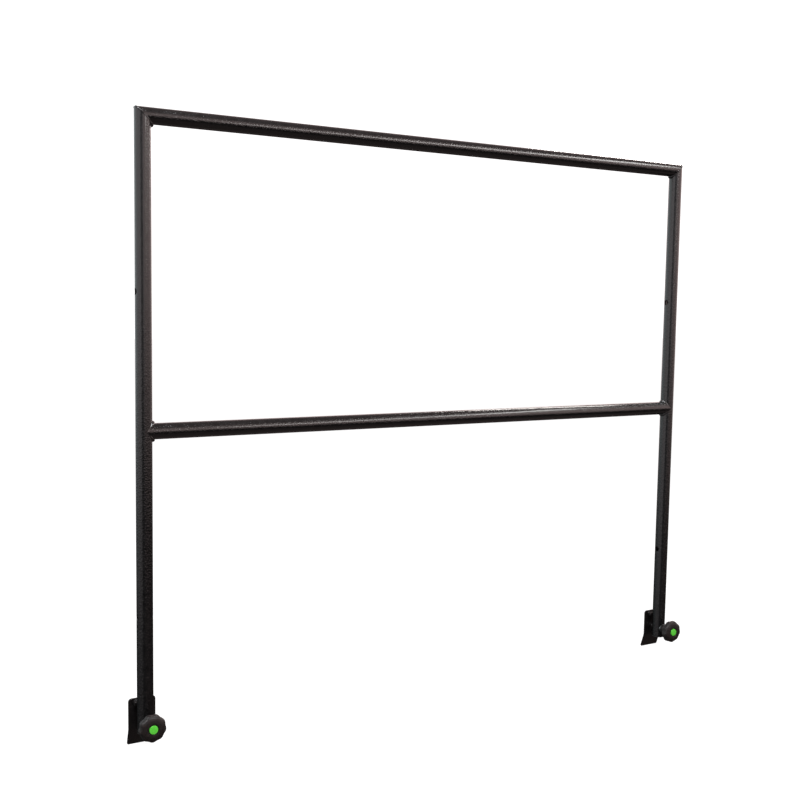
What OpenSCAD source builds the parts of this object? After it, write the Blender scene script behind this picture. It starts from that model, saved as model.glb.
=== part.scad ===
// Clamp-on rail frame: two posts, a top rail and a mid rail of round steel tube, with a
// pinch clamp at the foot of each post that grips an upstanding flange on a platform edge.
// X runs along the rails, +Y points from the posts towards the platform, +Z is up.
// The origin is midway between the clamps, on the bearing faces of the clamp plates, at the
// height where the clamp seats rest on the flange's top edge.

/* [Frame] */
// Overall width across the posts
frame_w = 1219; // [600:1:1800]
// Height of the top rail's centreline above the clamp seats
top_rail_z = 1002; // [700:1:1200]
// Distance from the top rail's centreline down to the mid rail's
mid_rail_drop = 524.5; // [300:0.5:600]
// Outside diameter of the tube
tube_d = 28; // [24:0.5:32]
// Wall thickness of the tube
tube_wall = 2; // [1.5:0.1:3]

/* [Link holes] */
// Diameter of the cross holes that link one frame to the next
link_hole_d = 11; // [8:0.5:13]
// Distance from the top rail's centreline down to the upper link hole
upper_hole_drop = 289.5; // [150:0.5:400]
// Distance from the top rail's centreline down to the lower link hole
lower_hole_drop = 845; // [700:0.5:900]

/* [Clamp] */
// Clear gap between the back of the post and the clamp plate
clamp_gap = 5; // [4.5:0.1:6]
// Thickness of the clamp plate
plate_t = 3; // [2:0.5:4]
// Width of the clamp plate
plate_w = 48; // [40:1:60]
// Height of the plate above the clamp seat
plate_above_seat = 10; // [8:0.5:12]
// Depth of the plate's upright part below the clamp seat
plate_below_seat = 44; // [42:1:60]
// Height of the flared lip below the upright part
lip_h = 31; // [20:1:40]
// Lean of the flared lip away from the post, in degrees
lip_angle = 18; // [8:1:30]
// Width of the seat block between post and plate
seat_w = 32; // [28:1:38]
// Height of the seat block
seat_h = 6; // [5:0.5:7]

/* [Clamp screw] */
// Depth of the screw's axis below the clamp seat
screw_drop = 25; // [22:1:27]
// Major diameter of the screw's thread
screw_d = 10; // [8:1:12]
// Outside diameter of the threaded bush welded through the post
bush_d = 16; // [14:0.5:17]
// Gap left between the screw's tip and the plate when the knob is fully in
tip_gap = 0.5; // [0.3:0.1:1]

/* [Knob] */
// Diameter over the lobes
knob_d = 48; // [40:1:56]
// Number of lobes
lobes = 9; // [5:1:10]
// Depth of the scallops between the lobes
scallop_depth = 1.4; // [0.8:0.1:2.4]
// Thickness of the lobed head
head_t = 15; // [13:0.5:20]
// Length of the hub between head and post
hub_l = 16.2; // [8:0.1:20]
// Diameter of the hub where it faces the post
hub_d = 19; // [18:0.5:22]
// Diameter of the coloured cap
cap_d = 15; // [12:0.5:20]

/* [Hidden] */
$fn = 96;

tube_r = tube_d / 2;
bore_r = tube_r - tube_wall;
post_x = frame_w / 2 - tube_r;
post_y = -(clamp_gap + tube_r);
mid_rail_z = top_rail_z - mid_rail_drop;
screw_r = screw_d / 2;
bush_r = bush_d / 2;

// Clearances between neighbouring solids
touch_gap = 0.05;
thread_gap = 0.05;
loose_gap = 0.4;

// Posts and their end plugs
plug_flange_t = 2.5;
plug_wall = 2;
plug_drop = 2;
plug_to_bush = 1.5;
post_bottom_z = plug_flange_t - plate_below_seat - plug_drop;
plug_l = -screw_drop - bush_r - plug_to_bush - post_bottom_z;

// Mitred corners: how much is ground off the outer tip, and the ellipse point where that flat starts
corner_trim = 1.2;
corner_flat = 1 - corner_trim / (tube_r * sqrt(2));

// Weld beads: each one's radius, and how far its centre is lifted off the surfaces it joins
seam_bead_r = 1.6;
seam_bead_lift = -1;
inner_bead_r = 3.5;
inner_bead_lift = 0.85;
inner_bead_spread = 6;
crotch_bead_r = 3.1;
crotch_bead_lift = 1.2;
cheek_bead_r = 2;
cheek_bead_lift = -1;
seat_bead_r = 2;
seat_bead_start = 50;
seat_bead_sweep = 80;
seat_bead_inset = 2;
bead_rings = 40;
bead_sides = 8;

// Clamp plate
plate_top_corner_r = 6;
lip_corner_r = 3;
bend_r = 3;
bend_steps = 6;
seat_reach = 9;

// Clamp screw and knob, as distances out along the screw's axis from the plate's face
bush_rise = 1;
bush_start = clamp_gap;
bush_end = clamp_gap + tube_d + bush_rise;
washer_t = 2;
washer_r = 10.5;
washer_gap = 0.5;
hub_gap = 0.3;
washer_start = bush_end + washer_gap;
washer_end = washer_start + washer_t;
hub_start = washer_end + hub_gap;
head_start = hub_start + hub_l;
head_end = head_start + head_t;
tip_chamfer = 1.2;
head_face_t = 7.5;
socket_end = head_end - head_face_t;
head_front_r = 5;
head_back_r = 4;
scallop_r = 30;
lobe_turn = 0.23;
hub_flare = 1.5;
cap_r = cap_d / 2;
cap_t = 2.5;
cap_rise = 0.5;
cap_back = head_end + cap_rise - cap_t;
cap_edge = 0.5;
groove_w = 0.9;
groove_depth = 0.8;

// How far cutting shapes run past the faces that they cut, and the reach of a half space
cut_margin = 1;
far = 4 * tube_d;

function unit(v) = v / norm(v);

// Value a share of the way from one number to another
function mix(from, to, share) = from + (to - from) * share;

// Ring of points around one point of a closed path
function ring(path, outs, i, r) =
    let (
        n = len(path),
        along = unit(path[(i + 1) % n] - path[(i + n - 1) % n]),
        out = unit(outs[i] - (outs[i] * along) * along),
        side = cross(along, out)
    )
    [for (j = [0 : bead_sides - 1])
        let (a = 360 * j / bead_sides)
        path[i] + r * (cos(a) * out + sin(a) * side)];

// Closed weld bead of round section along a looped path, with a radius for each of its points
module bead(path, outs, radii) {
    n = len(path);
    s = bead_sides;
    polyhedron(
        points = [for (i = [0 : n - 1]) each ring(path, outs, i, radii[i])],
        faces = [for (i = [0 : n - 1], j = [0 : s - 1])
            let (
                a = i * s + j,
                b = i * s + (j + 1) % s,
                c = ((i + 1) % n) * s + (j + 1) % s,
                d = ((i + 1) % n) * s + j
            )
            each [[a, b, c], [a, c, d]]]
    );
}

// Half space beyond a plane that cuts across the left corner's diagonal, tilted by an angle
// about Y and a distance out from the corner's centre
module beyond_plane(tilt, distance) {
    translate([-post_x, post_y, top_rail_z])
        rotate([0, tilt, 0])
            translate([-far, -far, distance])
                cube([2 * far, 2 * far, far]);
}

// What the left post loses at its top
module post_cut() {
    beyond_plane(45, 0);
    beyond_plane(-45, tube_r * sqrt(2) - corner_trim);
}

// What the top rail loses at its left end
module rail_cut() {
    beyond_plane(-135, 0);
    beyond_plane(-45, tube_r * sqrt(2) - corner_trim);
}

// The right side is the left side mirrored
module on_right() {
    mirror([1, 0, 0])
        children();
}

// Cylinder that points out along the left screw's axis, between two distances from the plate
module along_screw(r, start, end) {
    at_screw()
        translate([0, 0, start])
            cylinder(r = r, h = end - start);
}

// Moves its children to the left screw's axis, with their +Z pointing out through the knob
module at_screw() {
    translate([-post_x, 0, -screw_drop])
        rotate([90, 0, 0])
            children();
}

// Rails

module top_rail() {
    color([0.16, 0.16, 0.17])
        difference() {
            rail_stock(2 * (post_x + tube_r), top_rail_z);
            rail_cut();
            on_right()
                rail_cut();
        }
}

// Length of tube along X
module rail_stock(length, z) {
    translate([-length / 2, post_y, z])
        rotate([0, 90, 0])
            difference() {
                cylinder(r = tube_r, h = length);
                translate([0, 0, -cut_margin])
                    cylinder(r = bore_r, h = length + 2 * cut_margin);
            }
}

// The mid rail's ends are coped to sit on the posts
module mid_rail() {
    color([0.16, 0.16, 0.17])
        difference() {
            rail_stock(2 * post_x, mid_rail_z);
            for (side = [-1, 1])
                translate([side * post_x, post_y, mid_rail_z - far / 2])
                    cylinder(r = tube_r + touch_gap, h = far);
        }
}

// Posts

module left_post() {
    post_h = top_rail_z + tube_r - post_bottom_z;
    color([0.14, 0.14, 0.15])
        difference() {
            translate([-post_x, post_y, post_bottom_z])
                difference() {
                    cylinder(r = tube_r, h = post_h);
                    translate([0, 0, -cut_margin])
                        cylinder(r = bore_r, h = post_h + 2 * cut_margin);
                }
            post_cut();
            for (drop = [upper_hole_drop, lower_hole_drop])
                translate([-post_x - tube_d, post_y, top_rail_z - drop])
                    rotate([0, 90, 0])
                        cylinder(r = link_hole_d / 2, h = 2 * tube_d);
            along_screw(bush_r + touch_gap, 0, bush_end + tube_d);
        }
}

module left_end_plug() {
    insert_r = bore_r - touch_gap;
    color([0.08, 0.08, 0.08])
        translate([-post_x, post_y, post_bottom_z])
            difference() {
                union() {
                    translate([0, 0, -plug_flange_t])
                        cylinder(r = tube_r, h = plug_flange_t);
                    cylinder(r = insert_r, h = plug_l);
                }
                cylinder(r = insert_r - plug_wall, h = plug_l + cut_margin);
            }
}

// Weld beads

// The corner bead follows the ellipse where post and top rail meet, and grows into a fillet
// towards the inner corner
module left_corner_weld() {
    angles = [for (i = [0 : bead_rings - 1]) 360 * i / bead_rings];
    shares = [for (a = angles) pow(max(0, cos(a)), inner_bead_spread)];
    path = [for (i = [0 : bead_rings - 1])
        let (
            loop_r = tube_r + mix(seam_bead_lift, inner_bead_lift, shares[i]),
            inward = loop_r * max(cos(angles[i]), -corner_flat)
        )
        [inward, loop_r * sin(angles[i]), -inward]];
    radii = [for (share = shares) mix(seam_bead_r, inner_bead_r, share)];
    color([0.2, 0.2, 0.21])
        translate([-post_x, post_y, top_rail_z])
            bead(path, path, radii);
}

// The mid bead follows the saddle where the mid rail's coped end sits on the post. It is a
// fillet above and below the rail and thin at its two cheeks, where the tubes are flush
module left_mid_weld() {
    angles = [for (i = [0 : bead_rings - 1]) 360 * i / bead_rings];
    shares = [for (a = angles) abs(cos(a))];
    saddle = [for (a = angles) tube_r * [abs(cos(a)), sin(a), cos(a)]];
    outs = [for (p = saddle) unit([p.x, 2 * p.y, p.z])];
    path = [for (i = [0 : bead_rings - 1])
        saddle[i] + mix(cheek_bead_lift, crotch_bead_lift, shares[i]) * outs[i]];
    radii = [for (share = shares) mix(cheek_bead_r, crotch_bead_r, share)];
    color([0.2, 0.2, 0.21])
        translate([-post_x, post_y, mid_rail_z])
            bead(path, outs, radii);
}

module quarter_round(r) {
    intersection() {
        circle(r = r);
        square([r, r]);
    }
}

// Fillet beads that join the seat block to the post and to the clamp plate
module left_seat_weld() {
    run = seat_w - 2 * seat_bead_inset;
    color([0.2, 0.2, 0.21])
        translate([-post_x, 0, seat_h]) {
            translate([0, post_y, 0])
                rotate([0, 0, seat_bead_start])
                    rotate_extrude(angle = seat_bead_sweep)
                        translate([tube_r + touch_gap, 0])
                            quarter_round(seat_bead_r);
            translate([run / 2, 0, 0])
                rotate([90, 0, -90])
                    linear_extrude(height = run)
                        quarter_round(seat_bead_r);
        }
}

// Clamp plate and seat

// Side view of the plate, with Y to the right and Z up
module plate_section() {
    steps = [for (i = [0 : bend_steps]) lip_angle * i / bend_steps];
    centre = [plate_t + bend_r, -plate_below_seat];
    outer = [for (a = steps) centre - (bend_r + plate_t) * [cos(a), sin(a)]];
    inner = [for (a = steps) centre - bend_r * [cos(a), sin(a)]];
    last = outer[bend_steps];
    lip_l = (last.y + plate_below_seat + lip_h) / cos(lip_angle);
    down = lip_l * [sin(lip_angle), -cos(lip_angle)];
    across = plate_t * [cos(lip_angle), sin(lip_angle)];
    polygon(concat(
        [[plate_t, plate_above_seat], [0, plate_above_seat]],
        outer,
        [last + down, last + down + across],
        [for (i = [bend_steps : -1 : 0]) inner[i]]
    ));
}

// Front view of the plate, with X to the right and Z up
module plate_outline() {
    low = -plate_below_seat - lip_h;
    high = plate_above_seat;
    for (side = [-1, 1]) {
        translate([side * (plate_w / 2 - plate_top_corner_r), high - plate_top_corner_r])
            circle(r = plate_top_corner_r);
        translate([side * (plate_w / 2 - lip_corner_r), low + lip_corner_r])
            circle(r = lip_corner_r);
    }
    translate([-plate_w / 2, low + lip_corner_r])
        square([plate_w, high - plate_top_corner_r - low - lip_corner_r]);
    translate([-plate_w / 2 + plate_top_corner_r, high - plate_top_corner_r - cut_margin])
        square([plate_w - 2 * plate_top_corner_r, plate_top_corner_r + cut_margin]);
    translate([-plate_w / 2 + lip_corner_r, low - cut_margin])
        square([plate_w - 2 * lip_corner_r, lip_corner_r + 2 * cut_margin]);
}

module left_clamp_plate() {
    color([0.09, 0.09, 0.1])
        translate([-post_x, 0, 0])
            intersection() {
                rotate([90, 0, 90])
                    translate([0, 0, -plate_w])
                        linear_extrude(height = 2 * plate_w)
                            plate_section();
                translate([0, far, 0])
                    rotate([90, 0, 0])
                        linear_extrude(height = 2 * far)
                            plate_outline();
            }
}

// The seat block closes the top of the gap and rests on the flange
module left_clamp_seat() {
    color([0.12, 0.12, 0.13])
        translate([-post_x, 0, 0])
            difference() {
                translate([-seat_w / 2, -seat_reach, 0])
                    cube([seat_w, seat_reach, seat_h]);
                translate([0, post_y, -cut_margin])
                    cylinder(r = tube_r + touch_gap, h = seat_h + 2 * cut_margin);
            }
}

// Clamp screw, knob and washer

module left_threaded_bush() {
    color([0.6, 0.6, 0.62])
        difference() {
            along_screw(bush_r, bush_start, bush_end);
            along_screw(screw_r + thread_gap, bush_start - cut_margin, bush_end + cut_margin);
        }
}

module left_washer() {
    color([0.1, 0.1, 0.1])
        difference() {
            along_screw(washer_r, washer_start, washer_end);
            along_screw(screw_r + loose_gap, washer_start - cut_margin, washer_end + cut_margin);
        }
}

module left_clamp_screw() {
    color([0.7, 0.7, 0.72]) {
        at_screw()
            translate([0, 0, tip_gap])
                cylinder(r1 = screw_r - tip_chamfer, r2 = screw_r, h = tip_chamfer);
        along_screw(screw_r, tip_gap + tip_chamfer, socket_end - touch_gap);
    }
}

// Rounded lathe profile of the head, without its scallops
module head_profile() {
    r = knob_d / 2;
    square([r - head_front_r, head_t]);
    translate([0, head_back_r])
        square([r, head_t - head_back_r - head_front_r]);
    translate([r - head_front_r, head_t - head_front_r])
        circle(r = head_front_r);
    translate([r - head_back_r, head_back_r])
        circle(r = head_back_r);
}

module scalloped_head() {
    difference() {
        rotate_extrude()
            intersection() {
                head_profile();
                square([knob_d, head_t]);
            }
        for (i = [0 : lobes - 1])
            rotate([0, 0, 360 * (i + lobe_turn) / lobes])
                translate([knob_d / 2 + scallop_r - scallop_depth, 0, -cut_margin])
                    cylinder(r = scallop_r, h = head_t + 2 * cut_margin);
    }
}

module left_knob() {
    color([0.25, 0.23, 0.22])
        difference() {
            at_screw() {
                translate([0, 0, head_start])
                    scalloped_head();
                translate([0, 0, hub_start])
                    cylinder(r1 = hub_d / 2, r2 = hub_d / 2 + hub_flare, h = hub_l + cut_margin);
            }
            along_screw(screw_r + touch_gap, hub_start - cut_margin, socket_end);
            along_screw(cap_r + touch_gap, cap_back - touch_gap, head_end + cut_margin);
            along_screw(cap_r + groove_w, head_end - groove_depth, head_end + cut_margin);
        }
}

module left_knob_cap() {
    cap_front = cap_back + cap_t;
    color([0.3, 0.78, 0.25]) {
        along_screw(cap_r, cap_back, cap_front - cap_edge);
        at_screw()
            translate([0, 0, cap_front - cap_edge])
                cylinder(r1 = cap_r, r2 = cap_r - cap_edge, h = cap_edge);
    }
}

module right_post() {
    on_right()
        left_post();
}

module right_corner_weld() {
    on_right()
        left_corner_weld();
}

module right_mid_weld() {
    on_right()
        left_mid_weld();
}

module right_clamp_plate() {
    on_right()
        left_clamp_plate();
}

module right_clamp_seat() {
    on_right()
        left_clamp_seat();
}

module right_seat_weld() {
    on_right()
        left_seat_weld();
}

module right_threaded_bush() {
    on_right()
        left_threaded_bush();
}

module right_end_plug() {
    on_right()
        left_end_plug();
}

module right_washer() {
    on_right()
        left_washer();
}

module right_clamp_screw() {
    on_right()
        left_clamp_screw();
}

module right_knob() {
    on_right()
        left_knob();
}

module right_knob_cap() {
    on_right()
        left_knob_cap();
}

top_rail();
mid_rail();
left_post();
right_post();
left_corner_weld();
right_corner_weld();
left_mid_weld();
right_mid_weld();
left_clamp_plate();
right_clamp_plate();
left_clamp_seat();
right_clamp_seat();
left_seat_weld();
right_seat_weld();
left_threaded_bush();
right_threaded_bush();
left_end_plug();
right_end_plug();
left_washer();
right_washer();
left_clamp_screw();
right_clamp_screw();
left_knob();
right_knob();
left_knob_cap();
right_knob_cap();
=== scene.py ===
"""Looks of the clamp-on rail frame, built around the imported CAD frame.

Every CAD node is stood for by a finer piece of the same size, which rides on the node's body.
Lengths are in metres. X runs along the rails, +Y points from the posts to the platform, Z is up.
"""

import math
from collections import namedtuple

import bmesh
import bpy
from mathutils import Matrix, Vector, noise


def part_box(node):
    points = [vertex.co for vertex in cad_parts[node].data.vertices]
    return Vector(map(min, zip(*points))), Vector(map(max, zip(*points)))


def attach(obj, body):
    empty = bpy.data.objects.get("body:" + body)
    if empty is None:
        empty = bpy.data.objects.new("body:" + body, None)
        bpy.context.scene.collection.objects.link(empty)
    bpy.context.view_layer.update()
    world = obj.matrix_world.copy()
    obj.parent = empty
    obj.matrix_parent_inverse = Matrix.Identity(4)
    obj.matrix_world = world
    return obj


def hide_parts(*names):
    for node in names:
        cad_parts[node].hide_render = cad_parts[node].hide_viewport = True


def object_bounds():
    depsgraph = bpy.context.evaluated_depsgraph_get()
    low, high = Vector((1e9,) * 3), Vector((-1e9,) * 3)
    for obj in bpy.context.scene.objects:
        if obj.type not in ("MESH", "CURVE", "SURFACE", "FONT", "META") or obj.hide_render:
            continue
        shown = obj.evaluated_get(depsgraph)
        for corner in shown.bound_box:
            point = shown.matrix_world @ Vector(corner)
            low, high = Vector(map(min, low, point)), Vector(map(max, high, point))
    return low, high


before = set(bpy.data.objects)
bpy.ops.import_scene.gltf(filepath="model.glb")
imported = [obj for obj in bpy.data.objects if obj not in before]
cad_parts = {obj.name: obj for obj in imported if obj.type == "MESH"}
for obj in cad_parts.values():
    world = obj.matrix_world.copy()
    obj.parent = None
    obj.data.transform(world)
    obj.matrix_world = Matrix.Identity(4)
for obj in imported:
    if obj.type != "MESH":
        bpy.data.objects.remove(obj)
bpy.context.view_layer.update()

MM = 0.001
TAU = 2 * math.pi
SIDES = {"left": -1, "right": 1}

# Sizes and places that the frame gives
POST_LOW, POST_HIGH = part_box("right_post")
TUBE_R = (POST_HIGH.x - POST_LOW.x) / 2
POST_X = POST_HIGH.x - TUBE_R
POST_Y = (POST_LOW.y + POST_HIGH.y) / 2
TOP_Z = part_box("top_rail")[0].z + TUBE_R
MID_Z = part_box("mid_rail")[0].z + TUBE_R
PLATE_LOW, PLATE_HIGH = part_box("right_clamp_plate")
SEAT_LOW, SEAT_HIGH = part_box("right_clamp_seat")
BUSH_LOW, BUSH_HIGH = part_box("right_threaded_bush")
SCREW_Z = (BUSH_LOW.z + BUSH_HIGH.z) / 2

# Sizes that a box doesn't show
TUBE_WALL = 2 * MM
BORE_R = TUBE_R - TUBE_WALL
CLEARANCE = 0.05 * MM
LINK_HOLE_R = 5.5 * MM
LINK_HOLE_DROPS = (289.5 * MM, 845 * MM)
HOLE_EDGE = 0.5 * MM
CORNER_TRIM = 1.2 * MM
PLATE_T = 3 * MM
PLATE_BEND_Z = -44 * MM
PLATE_BEND_R = 3 * MM
LIP_ANGLE = math.radians(18)
THREAD_PITCH = 1.5 * MM
KNOB_HEAD = 15 * MM
LOBES = 9
LOBE_TURN = 0.23
SCALLOP_DEPTH = 1.4 * MM
SCALLOP_FADE = 1.5


# Mesh tools

def new_piece(name, skin, material, body, node, sharp_angle=35):
    """A closed smooth mesh that stands for a CAD node and rides on its body."""
    verts, faces = skin
    mesh = bpy.data.meshes.new(name)
    mesh.from_pydata([tuple(v) for v in verts], [], faces)
    work = bmesh.new()
    work.from_mesh(mesh)
    bmesh.ops.remove_doubles(work, verts=work.verts, dist=1e-6)
    bmesh.ops.dissolve_degenerate(work, edges=work.edges, dist=1e-7)
    bmesh.ops.recalc_face_normals(work, faces=work.faces)
    work.to_mesh(mesh)
    work.free()
    mesh.shade_smooth()
    mesh.set_sharp_from_angle(angle=math.radians(sharp_angle))
    mesh.materials.append(material)
    piece = bpy.data.objects.new(name, mesh)
    bpy.context.scene.collection.objects.link(piece)
    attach(piece, body)
    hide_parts(node)


def strip(first, second, count):
    """Quads between two closed rings of vertices that start at the given indices."""
    return [
        (first + i, first + (i + 1) % count, second + (i + 1) % count, second + i)
        for i in range(count)
    ]


def loft(rings, loop=False, cap=True):
    """Vertices and faces of a skin over rings of equal length. loop joins the last to the first."""
    count = len(rings[0])
    last = (len(rings) - 1) * count
    verts = [v for ring in rings for v in ring]
    faces = []
    for start in range(0, last, count):
        faces += strip(start, start + count, count)
    if loop:
        faces += strip(last, 0, count)
    elif cap:
        faces.append(tuple(range(count)))
        faces.append(tuple(range(last, last + count)))
    return verts, faces


def joined(skin, other):
    """Two skins as one."""
    verts, faces = skin
    more_verts, more_faces = other
    shifted = [tuple(len(verts) + i for i in face) for face in more_faces]
    return verts + more_verts, faces + shifted


def polar(radius, angle, z):
    return Vector((radius * math.cos(angle), radius * math.sin(angle), z))


def lathe(profile, place, segments=96):
    """Skin of a profile of (radius, along) points turned about the local Z axis."""
    closed = profile[0] == profile[-1]
    points = profile[:-1] if closed else profile
    angles = [TAU * i / segments for i in range(segments)]
    rings = [[place @ polar(r, angle, z) for angle in angles] for r, z in points]
    return loft(rings, loop=closed)


def arc(centre, radius, start, end, steps):
    """Points on an arc, with its angles in degrees."""
    points = []
    for k in range(steps + 1):
        angle = math.radians(start + (end - start) * k / steps)
        points.append((centre[0] + radius * math.cos(angle), centre[1] + radius * math.sin(angle)))
    return points


def mix(a, b, share):
    return a + (b - a) * share


def screw_place(side):
    """Local Z points out along a clamp screw's axis, from the clamp plate's face."""
    return Matrix.Translation((side * POST_X, 0, SCREW_Z)) @ Matrix.Rotation(math.pi / 2, 4, "X")


def out_range(node):
    """Start and end of a node along the screw's axis, measured out from the plate's face."""
    low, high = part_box(node)
    return -high.y, -low.y


def node_radius(node):
    low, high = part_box(node)
    return (high.x - low.x) / 2


# Tubes

# A round hole in the middle of a patch of the tube's cells. reach is half the patch's length,
# and half_cells is how many cells that is, along the tube and round it.
Hole = namedtuple("Hole", "angle z radius reach half_cells")


class Tube:
    """A hollow tube about local Z, with shaped ends and round cross holes. An end is a function
    that gives its height at an angle and a radius."""

    SEGMENTS = 96
    STEP = TAU / SEGMENTS
    END_BAND = 4 * MM
    LONGEST_CELL = 25 * MM
    PATCH_STEPS = 4
    EDGE_STEPS = 4

    def __init__(self, place, bottom, top, holes=()):
        self.place = place
        self.bottom = bottom
        self.top = top
        self.holes = holes
        self.verts = []
        self.faces = []

    def at(self, radius, angle, z):
        return self.place @ polar(radius, angle, z)

    def ring(self, radius, end):
        angles = [i * self.STEP for i in range(self.SEGMENTS)]
        return [self.at(radius, angle, end(angle, radius)) for angle in angles]

    def add_band(self, rings):
        self.verts, self.faces = joined((self.verts, self.faces), loft(rings, cap=False))

    def levels(self):
        """Heights of the rings, dense where a hole is."""
        angles = [i * self.STEP for i in range(self.SEGMENTS)]
        low = max(self.bottom(angle, TUBE_R) for angle in angles)
        high = min(self.top(angle, TUBE_R) for angle in angles)
        found = [low + self.END_BAND, high - self.END_BAND]
        for hole in self.holes:
            cells = 2 * hole.half_cells
            found += [hole.z + hole.reach * (2 * k / cells - 1) for k in range(cells + 1)]
        found.sort()
        filled = []
        for a, b in zip(found, found[1:]):
            steps = max(1, round((b - a) / self.LONGEST_CELL))
            filled += [mix(a, b, k / steps) for k in range(steps)]
        return filled + [found[-1]]

    def add_wall(self, radius):
        """The outer or the inner wall, without the cells that the holes take up."""
        n = self.SEGMENTS
        zs = self.levels()
        rows = [self.ring(radius, end) for end in [self.bottom, *map(level, zs), self.top]]
        base = len(self.verts)
        self.verts += [v for row in rows for v in row]
        for k in range(len(rows) - 1):
            between_levels = 0 < k < len(rows) - 2
            for i, face in enumerate(strip(base + k * n, base + (k + 1) * n, n)):
                if not (between_levels and self.in_hole(i, (zs[k - 1] + zs[k]) / 2)):
                    self.faces.append(face)

    def in_hole(self, i, z):
        """Whether the cell that starts at step i round the tube lies in a hole's patch."""
        for hole in self.holes:
            middle = round(hole.angle / self.STEP)
            away = (i - middle + hole.half_cells) % self.SEGMENTS
            if away < 2 * hole.half_cells and abs(z - hole.z) < hole.reach:
                return True
        return False

    def patch_border(self, hole):
        """Border of a hole's patch, as (cells round the tube, cells along it)."""
        h = hole.half_cells
        right = [(h, k) for k in range(-h, h)]
        top = [(-k, h) for k in range(-h, h)]
        return right + top + [(-a, -b) for a, b in right] + [(-a, -b) for a, b in top]

    def patch_ring(self, hole, radius, share, grow):
        """Ring of a patch, from the hole's edge (share 0) to the border (share 1)."""
        rim = hole.radius + grow
        ring = []
        for a, b in self.patch_border(hole):
            turn = math.atan2(b, a)
            edge_angle = math.asin(rim * math.cos(turn) / radius)
            edge_z = rim * math.sin(turn)
            angle = mix(edge_angle, a * self.STEP, share)
            z = mix(edge_z, b * hole.reach / hole.half_cells, share)
            ring.append(self.at(radius, hole.angle + angle, hole.z + z))
        return ring

    def edge_ring(self, hole, share):
        """Ring on the rounded edge of a hole, from the tube's surface to the hole's wall."""
        bend = math.radians(90 * share)
        rim = hole.radius + HOLE_EDGE * (1 - math.sin(bend))
        depth = HOLE_EDGE * (1 - math.cos(bend))
        c, s = math.cos(hole.angle), math.sin(hole.angle)
        ring = []
        for a, b in self.patch_border(hole):
            turn = math.atan2(b, a)
            across = rim * math.cos(turn)
            out = math.sqrt(TUBE_R ** 2 - across ** 2) - depth
            point = (out * c - across * s, out * s + across * c, hole.z + rim * math.sin(turn))
            ring.append(self.place @ Vector(point))
        return ring

    def cut_hole(self, hole):
        shares = [k / self.PATCH_STEPS for k in range(self.PATCH_STEPS + 1)]
        outside = [self.patch_ring(hole, TUBE_R, share, HOLE_EDGE) for share in reversed(shares)]
        edge = [self.edge_ring(hole, (k + 1) / self.EDGE_STEPS) for k in range(self.EDGE_STEPS)]
        inside = [self.patch_ring(hole, BORE_R, share, 0) for share in shares]
        self.add_band(outside + edge + inside)

    def build(self):
        self.add_wall(TUBE_R)
        self.add_wall(BORE_R)
        for hole in self.holes:
            self.cut_hole(hole)
        for end in (self.bottom, self.top):
            self.add_band([self.ring(TUBE_R, end), self.ring(BORE_R, end)])
        return self.verts, self.faces


def level(z):
    """An end that is cut square."""
    return lambda angle, radius: z


def mitre(angle, radius):
    """Height of the mitred end above the corner's centre, where angle 0 is the inner side."""
    inward = radius * math.cos(angle)
    return min(-inward, math.sqrt(2) * (math.sqrt(2) * TUBE_R - CORNER_TRIM) + inward)


def cope(angle, radius):
    """How far a coped end falls short of the post's axis, where angle 0 is straight down."""
    across = min(radius * abs(math.sin(angle)), TUBE_R)
    return math.sqrt(TUBE_R ** 2 - across ** 2)


def post_holes():
    """Two pairs of link holes from side to side, and the bush's holes from front to back."""
    bush_r = (BUSH_HIGH.x - BUSH_LOW.x) / 2 + CLEARANCE
    holes = [
        Hole(angle, TOP_Z - drop, LINK_HOLE_R, reach=7.5 * MM, half_cells=8)
        for drop in LINK_HOLE_DROPS
        for angle in (0, math.pi)
    ]
    holes += [
        Hole(angle, SCREW_Z, bush_r, reach=10 * MM, half_cells=11)
        for angle in (math.pi / 2, -math.pi / 2)
    ]
    return holes


def make_posts(paint):
    for name, side in SIDES.items():
        # Local X points inwards, so that angle 0 is the inner side of both posts
        tube = Tube(
            Matrix.Translation((side * POST_X, POST_Y, 0)) @ Matrix.Diagonal((-side, 1, 1, 1)),
            bottom=level(POST_LOW.z),
            top=lambda angle, radius: TOP_Z + mitre(angle, radius),
            holes=post_holes(),
        )
        new_piece(f"{name}_post_tube", tube.build(), paint, "frame", f"{name}_post")


def make_rail(node, z, reach, paint):
    """A rail that is its own mirror image. reach is how far its end is from the middle."""
    # Local Z runs along +X and local X points down
    turned = Matrix(((0, 0, 1, 0), (0, 1, 0, 0), (-1, 0, 0, 0), (0, 0, 0, 1)))
    tube = Tube(
        Matrix.Translation((0, POST_Y, z)) @ turned,
        bottom=lambda angle, radius: -reach(angle, radius),
        top=reach,
    )
    new_piece(f"{node}_tube", tube.build(), paint, "frame", node)


def make_rails(paint):
    make_rail("top_rail", TOP_Z, lambda angle, radius: POST_X + mitre(angle, radius), paint)
    make_rail("mid_rail", MID_Z, lambda angle, radius: POST_X - cope(angle, radius), paint)


# Welds

# Shares of the bead's radius
BEAD_BOW = 0.8
BEAD_RIDGE = 0.11
BEAD_LUMP = 0.07
BEAD_LUMP_SIZE = 3 * MM


def ripple(distance, pitch):
    """Rounded ridges with sharp valleys, from 0 to 1."""
    phase = (distance / pitch) % 1
    return 1 - (2 * phase - 1) ** 2


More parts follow.
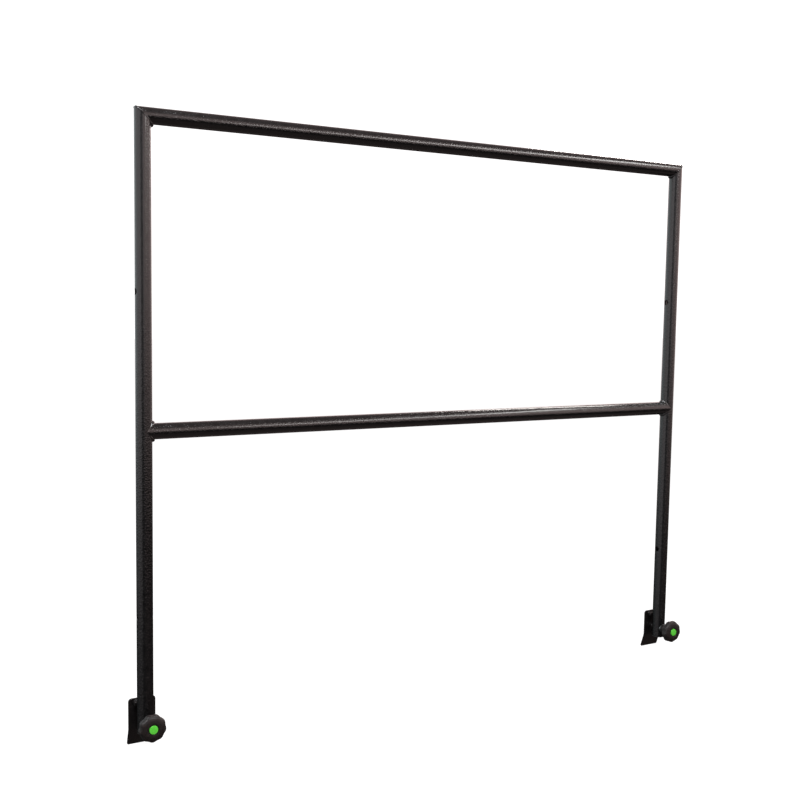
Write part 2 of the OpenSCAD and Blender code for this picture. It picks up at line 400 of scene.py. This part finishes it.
def bead_skin(path, outs, radii, pitch, loop=True, sides=16):
    """Skin of a weld bead along a path, with ripples that bow forward in its middle."""
    n = len(path)
    rings = []
    travelled = 0
    for i in range(n):
        before = path[(i - 1) % n] if loop or i else path[i]
        after = path[(i + 1) % n] if loop or i < n - 1 else path[i]
        along = (after - before).normalized()
        out = (outs[i] - outs[i].dot(along) * along).normalized()
        side = along.cross(out)
        ring = []
        for j in range(sides):
            a = TAU * j / sides
            bow = BEAD_BOW * radii[i] * (1 - math.cos(a))
            ridge = ripple(travelled + bow, pitch) - 0.5
            lump = noise.noise(path[i] / BEAD_LUMP_SIZE + polar(1, a, 0))
            r = radii[i] * (1 + BEAD_RIDGE * ridge + BEAD_LUMP * lump)
            ring.append(path[i] + r * (math.cos(a) * out + math.sin(a) * side))
        rings.append(ring)
        travelled += (path[(i + 1) % n] - path[i]).length
    return loft(rings, loop=loop)


def corner_bead(side):
    """Bead round a mitre, full on its inner side and dressed thin on the outer one."""
    count = 360
    thin, full = 1.6 * MM, 3.5 * MM
    thin_out, full_out = -1 * MM, 0.85 * MM
    flat = 1 - CORNER_TRIM / (TUBE_R * math.sqrt(2))
    centre = Vector((side * POST_X, POST_Y, TOP_Z))
    path, outs, radii = [], [], []
    for i in range(count):
        a = TAU * i / count
        share = max(0, math.cos(a)) ** 6
        loop_r = TUBE_R + mix(thin_out, full_out, share)
        inward = loop_r * max(math.cos(a), -flat)
        out = Vector((-side * inward, loop_r * math.sin(a), -inward))
        path.append(centre + out)
        outs.append(out)
        radii.append(mix(thin, full, share))
    return bead_skin(path, outs, radii, 2.6 * MM)


def mid_bead(side):
    """Bead on the saddle where the mid rail meets a post, full above and below the rail."""
    count = 400
    thin, full = 2 * MM, 3.1 * MM
    thin_out, full_out = -2.15 * MM, 1.2 * MM
    softness = 0.02
    path, outs, radii = [], [], []
    for i in range(count):
        a = TAU * i / count
        share = math.sqrt(math.cos(a) ** 2 + softness)
        swell = share ** 3
        saddle = TUBE_R * Vector((share, math.sin(a), math.cos(a)))
        out = Vector((saddle.x, 2 * saddle.y, saddle.z)).normalized()
        point = saddle + mix(thin_out, full_out, swell) * out
        path.append(Vector((side * (POST_X - point.x), POST_Y + point.y, MID_Z + point.z)))
        outs.append(Vector((-side * out.x, out.y, out.z)))
        radii.append(mix(thin, full, swell))
    return bead_skin(path, outs, radii, 2.8 * MM)


def seat_beads(side):
    """Two short beads on the seat block's top, one along the post and one along the plate."""
    count = 90
    radius = 1.9 * MM
    sunk = 0.2 * MM
    half_length = 14 * MM
    post_angles = 52, 128
    pitch = 2.4 * MM
    top = SEAT_HIGH.z
    centre = Vector((side * POST_X, POST_Y, top))
    at_post, at_plate, post_outs, plate_outs, radii = [], [], [], [], []
    for i in range(count):
        share = i / (count - 1)
        a = math.radians(mix(*post_angles, share))
        at_post.append(centre + polar(TUBE_R + sunk, a, 0))
        post_outs.append(polar(1, a, 1))
        x = side * POST_X + mix(-half_length, half_length, share)
        at_plate.append(Vector((x, -sunk, top)))
        plate_outs.append(Vector((0, -1, 1)))
        taper = min(1, 8 * share, 8 * (1 - share))
        radii.append(radius * math.sqrt(max(taper, 0.02)))
    post_skin = bead_skin(at_post, post_outs, radii, pitch, loop=False, sides=12)
    plate_skin = bead_skin(at_plate, plate_outs, radii, pitch, loop=False, sides=12)
    return joined(post_skin, plate_skin)


def make_beads(skin_of, name, node, paint):
    """A node's weld beads on both sides, from a function that gives a side's skin."""
    for prefix, side in SIDES.items():
        new_piece(
            f"{prefix}_{name}", skin_of(side), paint, "frame", f"{prefix}_{node}",
            sharp_angle=80,
        )


# Clamp

def plate_line():
    """The plate's mid line from top to bottom: its length, and a function from distance to
    (y, z, y and z of the direction across the plate)."""
    upright = PLATE_HIGH.z - PLATE_BEND_Z
    mid_r = PLATE_BEND_R + PLATE_T / 2
    turn = mid_r * LIP_ANGLE
    front_end = PLATE_BEND_Z - (PLATE_BEND_R + PLATE_T) * math.sin(LIP_ANGLE)
    lip = (front_end - PLATE_LOW.z) / math.cos(LIP_ANGLE)

    def at(s):
        angle = min(max(s - upright, 0) / mid_r, LIP_ANGLE)
        y = PLATE_T + PLATE_BEND_R - mid_r * math.cos(angle)
        z = PLATE_BEND_Z - mid_r * math.sin(angle)
        if s < upright:
            z += upright - s
        if s > upright + turn:
            y += (s - upright - turn) * math.sin(LIP_ANGLE)
            z -= (s - upright - turn) * math.cos(LIP_ANGLE)
        return y, z, math.cos(angle), math.sin(angle)

    return upright + turn + lip, at


def quarter_inset(distance, r):
    """How far a rounded corner of radius r stands back at a distance from the end."""
    if distance >= r:
        return 0
    return r - math.sqrt(max(r ** 2 - (r - distance) ** 2, 0))


def rounded_loop(half_w, half_t, edge):
    """Cross section of a sheet with rounded edges, as (across, through) points."""
    edge = min(edge, half_t * 0.98)
    steps = 16
    wide = [mix(-1, 1, k / steps) * (half_w - edge) for k in range(steps + 1)]
    front = [(x, -half_t) for x in wide]
    right = arc((half_w - edge, -half_t + edge), edge, -90, 0, 4)[1:]
    right += arc((half_w - edge, half_t - edge), edge, 0, 90, 4)[:-1]
    back = [(x, half_t) for x in reversed(wide)]
    left = [(-x, -y) for x, y in right]
    return front + right + back + left


def plate_stations(length):
    """Distances along the plate at which its section is drawn, dense near its rounded ends."""
    near_end = [d * MM for d in (0, 0.05, 0.15, 0.35, 0.7, 1.1, 1.6, 2.3, 3.1, 4, 5, 6)]
    start = 7 * MM
    steps = 60
    middle = [mix(start, length - start, k / steps) for k in range(steps + 1)]
    return near_end + middle + [length - d for d in reversed(near_end)]


def make_plates(paint):
    length, at = plate_line()
    half_w = (PLATE_HIGH.x - PLATE_LOW.x) / 2
    edge = 0.7 * MM
    top_r = 6 * MM
    bottom_r = 3 * MM
    for name, side in SIDES.items():
        rings = []
        for s in plate_stations(length):
            inset = max(quarter_inset(s, top_r), quarter_inset(length - s, bottom_r))
            thin = quarter_inset(min(s, length - s), edge)
            y, z, across_y, across_z = at(s)
            rings.append([
                Vector((side * POST_X + x, y + t * across_y, z + t * across_z))
                for x, t in rounded_loop(half_w - inset, PLATE_T / 2 - thin, edge)
            ])
        new_piece(
            f"{name}_plate_sheet", loft(rings), paint, "frame", f"{name}_clamp_plate"
        )


def outward(outline, i):
    """Direction out of a counterclockwise outline at one of its points, longer at a corner."""
    before, here, after = outline[i - 1], outline[i], outline[(i + 1) % len(outline)]
    first = (here - before).normalized()
    second = (after - here).normalized()
    normals = Vector((first.y, -first.x)), Vector((second.y, -second.x))
    total = normals[0] + normals[1]
    return total / max(total.dot(normals[0]), 0.5)


def slab(outline, low, high, edge):
    """Rings of an outline extruded from low to high with its edges rounded."""
    bends = [math.radians(15 * k) for k in range(7)]
    steps = [(edge * (1 - math.sin(q)), edge * (1 - math.cos(q))) for q in bends]
    rings = [(inset, low + depth) for inset, depth in steps]
    rings += [(inset, high - depth) for inset, depth in reversed(steps)]
    return [
        [Vector((*(p - inset * outward(outline, i)), z)) for i, p in enumerate(outline)]
        for inset, z in rings
    ]


def seat_outline():
    """Outline of the seat block from above, with the post's bite out of its front."""
    half_w = (SEAT_HIGH.x - SEAT_LOW.x) / 2
    front = SEAT_LOW.y
    bite_r = TUBE_R + CLEARANCE
    open_angle = math.degrees(math.asin((front - POST_Y) / bite_r))
    corner = 1 * MM
    points = arc((half_w - corner, front + corner), corner, -90, 0, 4)
    points += arc((half_w - corner, -corner), corner, 0, 90, 4)
    points += arc((-half_w + corner, -corner), corner, 90, 180, 4)
    points += arc((-half_w + corner, front + corner), corner, 180, 270, 4)
    points += arc((0, POST_Y), bite_r, 180 - open_angle, open_angle, 24)
    return [Vector(p) for p in points]


def make_seats(paint):
    for name, side in SIDES.items():
        rings = slab(seat_outline(), SEAT_LOW.z, SEAT_HIGH.z, 0.5 * MM)
        rings = [[v + Vector((side * POST_X, 0, 0)) for v in ring] for ring in rings]
        new_piece(
            f"{name}_seat_block", loft(rings), paint, "frame", f"{name}_clamp_seat"
        )


def make_bushes(steel):
    start, end = out_range("right_threaded_bush")
    r = node_radius("right_threaded_bush")
    bore = node_radius("right_clamp_screw") + CLEARANCE
    chamfer = 0.7 * MM
    edge = 0.4 * MM
    profile = [(bore, start + chamfer), (bore + chamfer, start), (r - edge, start)]
    profile += [(r, start + edge), (r, end - edge)]
    profile += arc((r - edge, end - edge), edge, 0, 90, 4)[1:]
    profile += [(bore + chamfer, end), (bore, end - chamfer), (bore, start + chamfer)]
    for name, side in SIDES.items():
        skin = lathe(profile, screw_place(side))
        new_piece(f"{name}_bush_sleeve", skin, steel, "frame", f"{name}_threaded_bush")


def make_washers(nylon):
    start, end = out_range("right_washer")
    r = node_radius("right_washer")
    bore = 5.4 * MM
    edge = 0.45 * MM
    profile = arc((bore + edge, start + edge), edge, 180, 270, 4)
    profile += arc((r - edge, start + edge), edge, 270, 360, 4)
    profile += arc((r - edge, end - edge), edge, 0, 90, 4)
    profile += arc((bore + edge, end - edge), edge, 90, 180, 4)
    profile.append(profile[0])
    for name, side in SIDES.items():
        skin = lathe(profile, screw_place(side))
        body = f"{name}_washer_slide"
        new_piece(f"{name}_washer_ring", skin, nylon, body, f"{name}_washer")


def make_plugs(plastic):
    """Plugs with a flange that closes the tube's foot and a hollow, ribbed spigot inside it."""
    low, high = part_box("right_end_plug")
    flange_top = POST_LOW.z
    crest = BORE_R - CLEARANCE
    root = crest - 0.5 * MM
    hollow = crest - 2 * MM
    edge = 0.9 * MM
    ribs = 4
    rib_h = (high.z - flange_top) / ribs
    rib_shape = (root, 0.3), (crest, 0.45), (crest, 0.6), (root, 0.95)
    profile = [(0, low.z)]
    profile += arc((TUBE_R - edge, low.z + edge), edge, 270, 360, 6)
    profile += [(TUBE_R, flange_top), (root, flange_top)]
    for k in range(ribs):
        profile += [(r, flange_top + (k + share) * rib_h) for r, share in rib_shape]
    profile += [(hollow, high.z), (hollow, flange_top), (0, flange_top)]
    for name, side in SIDES.items():
        skin = lathe(profile, Matrix.Translation((side * POST_X, POST_Y, 0)))
        new_piece(f"{name}_foot_plug", skin, plastic, "frame", f"{name}_end_plug")


# Screw and knob

def thread_depth(phase):
    """Depth of a 60 degree thread below its crest, from a phase along the pitch."""
    crest, root = 0.125, 0.25
    slope = (1 - crest - root) / 2
    depth = 0.613 * THREAD_PITCH
    phase = phase % 1
    if phase < crest:
        return 0
    if phase < crest + slope:
        return depth * (phase - crest) / slope
    if phase < crest + slope + root:
        return depth
    return depth * (1 - phase) / slope


def make_screws(steel):
    start, end = out_range("right_clamp_screw")
    r = node_radius("right_clamp_screw")
    segments = 48
    rings_per_pitch = 12
    chamfer = 1.3 * MM
    rows = round((end - start) / THREAD_PITCH * rings_per_pitch)
    for name, side in SIDES.items():
        place = screw_place(side)
        rings = []
        for k in range(rows + 1):
            z = mix(start, end, k / rows)
            limit = r - max(0, chamfer - (z - start))
            ring = []
            for i in range(segments):
                depth = thread_depth(z / THREAD_PITCH - i / segments)
                ring.append(place @ polar(min(r - depth, limit), TAU * i / segments, z))
            rings.append(ring)
        new_piece(
            f"{name}_stud_thread", loft(rings), steel,
            f"{name}_knob_screw", f"{name}_clamp_screw", sharp_angle=50,
        )


def hub_profile(start, head):
    """Half section of the knob's hub, from the stud's bore in its back to the head's back."""
    bore = node_radius("right_clamp_screw") + CLEARANCE
    bore_depth = 6 * MM
    chamfer = 0.6 * MM
    back_r = 9.5 * MM
    head_r = 10.7 * MM
    edge = 0.8 * MM
    fillet = 2 * MM
    steps = 8
    profile = [(bore, start + bore_depth), (bore, start + chamfer), (bore + chamfer, start)]
    profile += arc((back_r - edge, start + edge), edge, 270, 360, 5)
    for k in range(1, steps + 1):
        z = mix(start + edge, head - fillet, k / steps)
        profile.append((mix(back_r, head_r, k / steps), z))
    profile += arc((head_r + fillet, head - fillet), fillet, 180, 90, 6)[1:]
    return profile


def head_profile(hub_r, head, end, cap_r):
    """Half section of the knob's head, from its back over its domed face to the cap's socket."""
    r = node_radius("right_knob")
    back_edge = 4 * MM
    dome = 8 * MM
    dome_power = 0.72
    dome_steps = 24
    rim = cap_r + 2.3 * MM
    rim_edge = 0.5 * MM
    rim_z = end - 0.15 * MM
    groove = rim - rim_edge
    groove_z = end - 1.9 * MM
    groove_edge = 0.2 * MM
    socket_z = end - 2 * MM - CLEARANCE
    profile = [(mix(hub_r, r - back_edge, k / 4), head) for k in range(1, 5)]
    profile += arc((r - back_edge, head + back_edge), back_edge, 270, 360, 8)[1:]
    profile += [(r, mix(head + back_edge, end - dome, k / 3)) for k in range(1, 4)]
    for k in range(1, dome_steps + 1):
        q = math.radians(90 * k / dome_steps)
        across = math.cos(q) ** dome_power
        profile.append((mix(rim, r, across), rim_z - dome * (1 - math.sin(q) ** dome_power)))
    profile += arc((rim, rim_z - rim_edge), rim_edge, 90, 180, 4)[1:]
    profile += [(groove, groove_z + groove_edge), (groove - groove_edge, groove_z)]
    profile += [(cap_r + CLEARANCE, groove_z), (cap_r + CLEARANCE, socket_z), (0, socket_z)]
    return profile


def scallop(angle):
    """0 on a lobe's crest to 1 in the middle of the scallop beside it."""
    return (1 + math.cos(LOBES * angle - TAU * LOBE_TURN)) / 2


def make_knobs(plastic):
    start, end = out_range("right_knob")
    head = end - KNOB_HEAD
    cap_r = node_radius("right_knob_cap")
    r = node_radius("right_knob")
    hub = hub_profile(start, head)
    profile = hub + head_profile(hub[-1][0], head, end, cap_r)
    segments = LOBES * 28
    flat_r = 13 * MM
    for name, side in SIDES.items():
        place = screw_place(side)
        rings = []
        for radius, z in profile:
            lobed = min(1, max(0, (radius - flat_r) / (r - flat_r))) ** SCALLOP_FADE
            ring = []
            for i in range(segments):
                angle = TAU * i / segments
                turned = angle if side < 0 else math.pi - angle
                rho = radius - SCALLOP_DEPTH * lobed * scallop(turned)
                ring.append(place @ polar(rho, angle, z))
            rings.append(ring)
        new_piece(
            f"{name}_knob_body", loft(rings), plastic,
            f"{name}_knob_screw", f"{name}_knob", sharp_angle=50,
        )


def make_caps(plastic):
    start, end = out_range("right_knob_cap")
    r = node_radius("right_knob_cap")
    edge = 0.5 * MM
    chamfer = 0.2 * MM
    crown = 0.2 * MM
    crown_steps = 10
    profile = [(0, start), (r - chamfer, start), (r, start + chamfer)]
    profile += arc((r - edge, end - crown - edge), edge, 0, 80, 6)
    crown_r, crown_z = profile[-1]
    for k in range(1, crown_steps + 1):
        share = k / crown_steps
        profile.append((crown_r * (1 - share), mix(crown_z, end, math.sin(share * math.pi / 2))))
    for name, side in SIDES.items():
        skin = lathe(profile, screw_place(side), 120)
        body = f"{name}_knob_screw"
        new_piece(f"{name}_cap_disc", skin, plastic, body, f"{name}_knob_cap")


# Materials

class NodeTree:
    """Short ways to add nodes to a shader's tree."""

    def __init__(self, tree):
        self.tree = tree

    def node(self, kind, links=None, inputs=None, **settings):
        """A new node with its settings, its inputs' values and the links into them."""
        node = self.tree.nodes.new(kind)
        for key, value in settings.items():
            setattr(node, key, value)
        for key, value in (inputs or {}).items():
            node.inputs[key].default_value = value
        for key, output in (links or {}).items():
            self.tree.links.new(output, node.inputs[key])
        return node

    def math(self, operation, *values):
        """Outcome of an operation on numbers and sockets."""
        node = self.node("ShaderNodeMath", operation=operation)
        for socket, value in zip(node.inputs, values):
            if isinstance(value, (int, float)):
                socket.default_value = value
            else:
                self.tree.links.new(value, socket)
        return node.outputs["Value"]

    def remap(self, value, start, end, low, high, interpolation="LINEAR"):
        """low where the value is at start, and high where it is at end."""
        node = self.node(
            "ShaderNodeMapRange",
            {"Value": value},
            {"From Min": start, "From Max": end, "To Min": low, "To Max": high},
            interpolation_type=interpolation,
        )
        return node.outputs["Result"]

    def ramp(self, value, stops):
        """Colour from a value, through (position, colour) stops."""
        node = self.node("ShaderNodeValToRGB", {"Fac": value})
        elements = node.color_ramp.elements
        for k, (position, colour) in enumerate(stops):
            element = elements[k] if k < 2 else elements.new(position)
            element.position = position
            element.color = (*colour, 1)
        return node.outputs["Color"]


class Material(NodeTree):
    """A node material whose texture coordinates are in metres on the object."""

    def __init__(self, name):
        self.material = bpy.data.materials.new(name)
        self.material.use_nodes = True
        super().__init__(self.material.node_tree)
        self.shader = self.tree.nodes["Principled BSDF"]
        self.coords = self.node("ShaderNodeTexCoord").outputs["Object"]

    def set(self, **values):
        """Even values of the shader. _ stands for a space in a socket's name, here and in link."""
        for key, value in values.items():
            self.shader.inputs[key.replace("_", " ")].default_value = value

    def link(self, **outputs):
        for key, output in outputs.items():
            self.tree.links.new(output, self.shader.inputs[key.replace("_", " ")])

    def noise(self, size, detail=3, roughness=0.5):
        node = self.node(
            "ShaderNodeTexNoise",
            {"Vector": self.coords},
            {"Scale": 1 / size, "Detail": detail, "Roughness": roughness},
        )
        return node.outputs["Fac"]

    def cells(self, size, smoothness):
        """Distance from the middle of a cell, blended where cells meet."""
        node = self.node(
            "ShaderNodeTexVoronoi",
            {"Vector": self.coords},
            {"Scale": 1 / size, "Smoothness": smoothness},
            feature="SMOOTH_F1",
        )
        return node.outputs["Distance"]

    def bump(self, height, distance):
        node = self.node("ShaderNodeBump", {"Height": height}, {"Distance": distance, "Strength": 1})
        return node.outputs["Normal"]


def hammered_paint(name, dark, light, roughness, depth, coat):
    """Glossy paint that dries into shallow rounded cells a few millimetres across."""
    m = Material(name)
    cells = m.cells(2.6 * MM, 0.6)
    swell = m.noise(9 * MM, 2)
    fine = m.noise(0.7 * MM, 4)
    height = m.math("ADD", cells, m.math("MULTIPLY", fine, 0.12))
    height = m.math("ADD", height, m.math("MULTIPLY", swell, 0.5))
    shade = m.math("ADD", m.math("MULTIPLY", cells, 0.6), m.math("MULTIPLY", swell, 0.5))
    m.link(
        Base_Color=m.ramp(shade, [(0.25, dark), (0.75, light)]),
        Roughness=m.remap(swell, 0.3, 0.7, roughness - 0.05, roughness + 0.06),
        Normal=m.bump(height, depth),
    )
    m.set(Coat_Weight=coat, Coat_Roughness=0.07)
    return m.material


def turned_steel(name, tint, dull):
    """Zinc-plated steel with fine turning marks and a cloudy passivated film."""
    m = Material(name)
    cloud = m.noise(3 * MM, 4)
    marks = m.noise(0.25 * MM, 2)
    m.link(
        Base_Color=m.ramp(cloud, [(0.35, tint), (0.65, dull)]),
        Roughness=m.remap(cloud, 0.3, 0.7, 0.24, 0.38),
        Normal=m.bump(marks, 0.02 * MM),
    )
    m.set(Metallic=1)
    return m.material


def moulded_plastic(name, dark, light, grain, depth, roughness):
    """Matt plastic from a spark-eroded mould, painted paler on the grain's peaks and darker in its
    pits: painted highlight and shade on the grain.
    """
    m = Material(name)
    peaks = m.noise(grain, 3, 0.6)
    patches = m.noise(6 * MM, 3)
    # The colour follows the grain's height: painted highlight on the peaks, painted shade in the
    # pits, with random paler patches.
    shade = m.math("ADD", m.math("MULTIPLY", peaks, 0.7), m.math("MULTIPLY", patches, 0.3))
    m.link(
        Base_Color=m.ramp(shade, [(0.38, dark), (0.62, light)]),
        Roughness=m.remap(peaks, 0.35, 0.65, roughness + 0.08, roughness - 0.08),
        Normal=m.bump(peaks, depth),
    )
    m.set(Specular_IOR_Level=0.45)
    return m.material


def smooth_plastic(name, dark, light, roughness):
    """Glossy moulded plastic with faint flow marks and dust."""
    m = Material(name)
    flow = m.noise(4 * MM, 3)
    dust = m.noise(0.4 * MM, 3)
    m.link(
        Base_Color=m.ramp(flow, [(0.3, dark), (0.7, light)]),
        Roughness=m.remap(dust, 0.3, 0.7, roughness - 0.06, roughness + 0.1),
        Normal=m.bump(dust, 0.015 * MM),
    )
    return m.material


def pale_floor():
    """A pale sweep that glows, so that it looks as white as the backdrop behind it."""
    m = Material("pale_floor")
    m.link(Base_Color=m.ramp(m.noise(0.4, 3), [(0.3, (0.20, 0.20, 0.20)), (0.7, (0.22, 0.22, 0.22))]))
    m.set(Roughness=0.9, Specular_IOR_Level=0, Emission_Color=(1, 1, 1, 1), Emission_Strength=0.93)
    return m.material


# Stage

CAMERA_AT = (-1.1234, -1.7885, 0.6963)
CAMERA_YAW = 30.125
CAMERA_PITCH = 5.034
CAMERA_ROLL = -0.922
CAMERA_LENS = 48.18

# Azimuths in degrees, which turn from -Y, the camera's side, towards +X
LEFT = -100
BEHIND_LEFT = -150
CAMERA_SIDE = -30


def make_camera():
    """Yaw turns from +Y towards +X, pitch is downwards and roll is clockwise, in degrees."""
    yaw, pitch, roll = (math.radians(a) for a in (CAMERA_YAW, CAMERA_PITCH, CAMERA_ROLL))
    level_forward = Vector((math.sin(yaw), math.cos(yaw), 0))
    forward = math.cos(pitch) * level_forward + Vector((0, 0, -math.sin(pitch)))
    right = Vector((math.cos(yaw), -math.sin(yaw), 0))
    down = forward.cross(right)
    turned_right = math.cos(roll) * right + math.sin(roll) * down
    turned_down = math.cos(roll) * down - math.sin(roll) * right
    data = bpy.data.cameras.new("camera")
    data.sensor_width = 36
    data.lens = CAMERA_LENS
    data.clip_start = 0.05
    data.clip_end = 200
    camera = bpy.data.objects.new("camera", data)
    rotation = Matrix((turned_right, -turned_down, -forward)).transposed()
    camera.matrix_world = Matrix.Translation(CAMERA_AT) @ rotation.to_4x4()
    bpy.context.scene.collection.objects.link(camera)
    bpy.context.scene.camera = camera


def area_light(name, at, towards, size, power, colour):
    data = bpy.data.lights.new(name, "AREA")
    data.shape = "RECTANGLE"
    data.size, data.size_y = size
    data.energy = power
    data.color = colour
    light = bpy.data.objects.new(name, data)
    light.location = at
    light.rotation_euler = (Vector(towards) - Vector(at)).to_track_quat("-Z", "Y").to_euler()
    light.visible_camera = False
    bpy.context.scene.collection.objects.link(light)


def make_lights():
    """A long strip for the rails' sheen, a box above, and a bar behind for the mid rail's edge."""
    area_light(
        "strip_softbox",
        at=(1.5, -2.8, 1.85), towards=(0.4, -2.8, 1.05),
        size=(4.4, 0.24), power=28, colour=(1, 0.99, 0.97),
    )
    area_light(
        "top_softbox",
        at=(-1.35, -1.6, 3.9), towards=(-0.2, 0, 0.3),
        size=(1.2, 1.2), power=200, colour=(0.96, 0.97, 1),
    )
    area_light(
        "rear_softbox",
        at=(0.95, 0.37, 1.26), towards=(0.2, 0, 0.48),
        size=(0.8, 0.08), power=3.2, colour=(1, 0.95, 0.91),
    )


class Sky(NodeTree):
    """Direction of a ray in the room, with x, y and z as on the unit sphere."""

    def __init__(self, tree):
        super().__init__(tree)
        direction = self.node("ShaderNodeTexCoord").outputs["Generated"]
        self.x, self.y, self.z = self.node("ShaderNodeSeparateXYZ", {"Vector": direction}).outputs

    def step(self, value, start, end, low, high):
        """A smooth step from low, where the value is at start, to high, where it is at end."""
        return self.remap(value, start, end, low, high, "SMOOTHSTEP")

    def along(self, azimuth):
        """Cosine of the angle between the ray's level direction and an azimuth."""
        a = math.radians(azimuth)
        across = self.math("MULTIPLY", self.x, math.sin(a))
        ahead = self.math("MULTIPLY", self.y, -math.cos(a))
        # A little over 1, so that nothing is divided by 0 straight up
        flatness = self.math("SUBTRACT", 1.0001, self.math("MULTIPLY", self.z, self.z))
        return self.math("DIVIDE", self.math("ADD", across, ahead), self.math("SQRT", flatness))


def up(elevation):
    """Height on the unit sphere of an elevation in degrees."""
    return math.sin(math.radians(elevation))


def room_light(sky):
    """A pale room that is dark below the horizon, with the dark camera stand in front."""
    leftward = sky.step(sky.along(LEFT), 0.25, 0.7, 0, 1)
    behind_left = sky.step(sky.along(BEHIND_LEFT), 0.75, 0.93, 0, 0.6)
    low_behind = sky.math("MULTIPLY", behind_left, sky.step(sky.z, up(-12), up(-3), 1, 0))
    left_wall = sky.step(sky.z, up(-24), up(4), 0.04, 0.95)
    left_wall = sky.math("MULTIPLY", left_wall, sky.math("SUBTRACT", 1, low_behind))
    right_wall = sky.step(sky.z, up(-13), up(6), 0.02, 1.1)
    left_part = sky.math("MULTIPLY", left_wall, leftward)
    right_part = sky.math("MULTIPLY", right_wall, sky.math("SUBTRACT", 1, leftward))
    ceiling = sky.step(sky.z, up(18), up(50), 1, 0.2)
    stand_edge = [math.cos(math.radians(a)) for a in (19, 9)]
    stand = sky.step(sky.along(CAMERA_SIDE), *stand_edge, 1, 0.25)
    walls = sky.math("ADD", left_part, right_part)
    walls = sky.math("MULTIPLY", walls, sky.math("MULTIPLY", ceiling, stand))
    floor_bounce = sky.step(sky.z, up(-45), up(-25), 0.10, 0)
    return sky.math("ADD", walls, floor_bounce)


def room_tint(sky):
    """Cool on the wall behind to the left, neutral behind the camera, warm on the right."""
    from_left = sky.step(sky.along(BEHIND_LEFT), 0.5, 0.95, 0.5, 0)
    to_right = sky.step(sky.x, -0.5, 0.3, 0, 0.5)
    warmth = sky.math("ADD", from_left, to_right)
    return sky.ramp(warmth, [(0, (0.90, 0.98, 1)), (0.5, (1, 0.95, 0.97)), (1, (1, 0.79, 0.77))])


def make_world():
    """White as the camera sees it, and a pale room to everything else."""
    world = bpy.data.worlds.new("studio")
    bpy.context.scene.world = world
    world.use_nodes = True
    sky = Sky(world.node_tree)
    nodes, links = sky.tree.nodes, sky.tree.links
    room = nodes["Background"]
    links.new(room_tint(sky), room.inputs["Color"])
    links.new(room_light(sky), room.inputs["Strength"])
    backdrop = sky.node("ShaderNodeBackground", inputs={"Color": (1, 1, 1, 1), "Strength": 1.2})
    choice = sky.node("ShaderNodeMixShader")
    links.new(sky.node("ShaderNodeLightPath").outputs["Is Camera Ray"], choice.inputs["Fac"])
    links.new(room.outputs[0], choice.inputs[1])
    links.new(backdrop.outputs[0], choice.inputs[2])
    links.new(choice.outputs[0], nodes["World Output"].inputs["Surface"])


def make_floor():
    """The floor lies just under the lips, and the paint's reflections and shade leave it out."""
    gap = 0.5 * MM
    bpy.ops.mesh.primitive_plane_add(size=40, location=(0, 0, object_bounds()[0].z - gap))
    floor = bpy.context.object
    floor.name = "floor"
    floor.data.materials.append(pale_floor())
    floor.visible_glossy = False
    floor.visible_diffuse = False


def make_painted_parts():
    tube_paint = hammered_paint(
        "tube_paint",
        dark=(0.0019, 0.0019, 0.0020), light=(0.0072, 0.0070, 0.0073),
        roughness=0.20, depth=0.45 * MM, coat=0.8,
    )
    # Paler than the tube paint although it is the same paint: painted highlight on the corner and mid
    # beads. It is also glossier and less bumpy.
    bead_highlight_paint = hammered_paint(
        "bead_highlight_paint",
        dark=(0.003, 0.0028, 0.0028), light=(0.012, 0.011, 0.011),
        roughness=0.12, depth=0.12 * MM, coat=0.9,
    )
    # Darker than the tube paint although it is the same paint: painted shade on the plates, seats and
    # seat beads, which sit low behind the posts.
    painted_shade_paint = hammered_paint(
        "painted_shade_paint",
        dark=(0.0018, 0.0016, 0.0016), light=(0.006, 0.005, 0.005),
        roughness=0.38, depth=0.2 * MM, coat=0.1,
    )
    make_posts(tube_paint)
    make_rails(tube_paint)
    make_beads(corner_bead, "corner_bead", "corner_weld", bead_highlight_paint)
    make_beads(mid_bead, "mid_bead", "mid_weld", bead_highlight_paint)
    make_beads(seat_beads, "seat_beads", "seat_weld", painted_shade_paint)
    make_plates(painted_shade_paint)
    make_seats(painted_shade_paint)


def make_clamp_fittings():
    zinc = turned_steel("zinc_steel", tint=(0.44, 0.44, 0.43), dull=(0.32, 0.33, 0.34))
    make_bushes(zinc)
    make_screws(zinc)
    make_washers(smooth_plastic("black_nylon", (0.012, 0.012, 0.012), (0.025, 0.025, 0.026), 0.42))
    make_plugs(
        smooth_plastic("black_polyethylene", (0.010, 0.010, 0.010), (0.020, 0.020, 0.021), 0.5)
    )
    make_knobs(moulded_plastic(
        "knob_skin",
        dark=(0.0015, 0.0012, 0.0012), light=(0.018, 0.0125, 0.0115),
        grain=1.7 * MM, depth=0.9 * MM, roughness=0.38,
    ))
    make_caps(smooth_plastic("green_plastic", (0.090, 0.66, 0.040), (0.150, 0.76, 0.080), 0.32))


make_painted_parts()
make_clamp_fittings()
make_camera()
make_world()
make_floor()
make_lights()
bpy.context.scene.view_settings.view_transform = "Standard"
